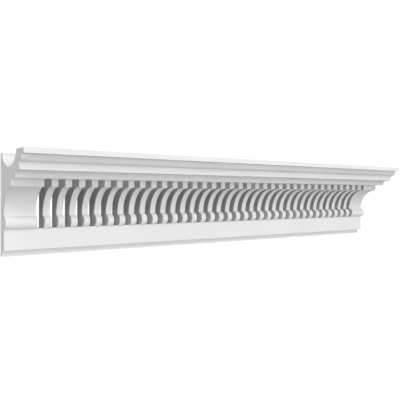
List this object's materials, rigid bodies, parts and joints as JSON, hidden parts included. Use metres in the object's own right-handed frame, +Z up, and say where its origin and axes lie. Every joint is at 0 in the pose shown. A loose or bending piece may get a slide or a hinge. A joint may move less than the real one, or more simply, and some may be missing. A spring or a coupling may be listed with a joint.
{
  "type": "vented crown cornice",
  "caption": "Length of moulded crown cornice with a row of upright vent slots through its cove and a shallow trough along its top.",
  "frame": {"origin": "on the flat back face, halfway along, in the middle of the plain band below the slots", "axes": "+X along the length, +Y into the wall, +Z up to the ceiling; the moulded front faces -Y"},
  "size_m": [1, 0.151, 0.1865],
  "materials": {
    "white_plaster": "smooth matt white cast plaster"
  },
  "bodies": {
    "root": {"cornice": "white_plaster"}
  },
  "joints": []
}
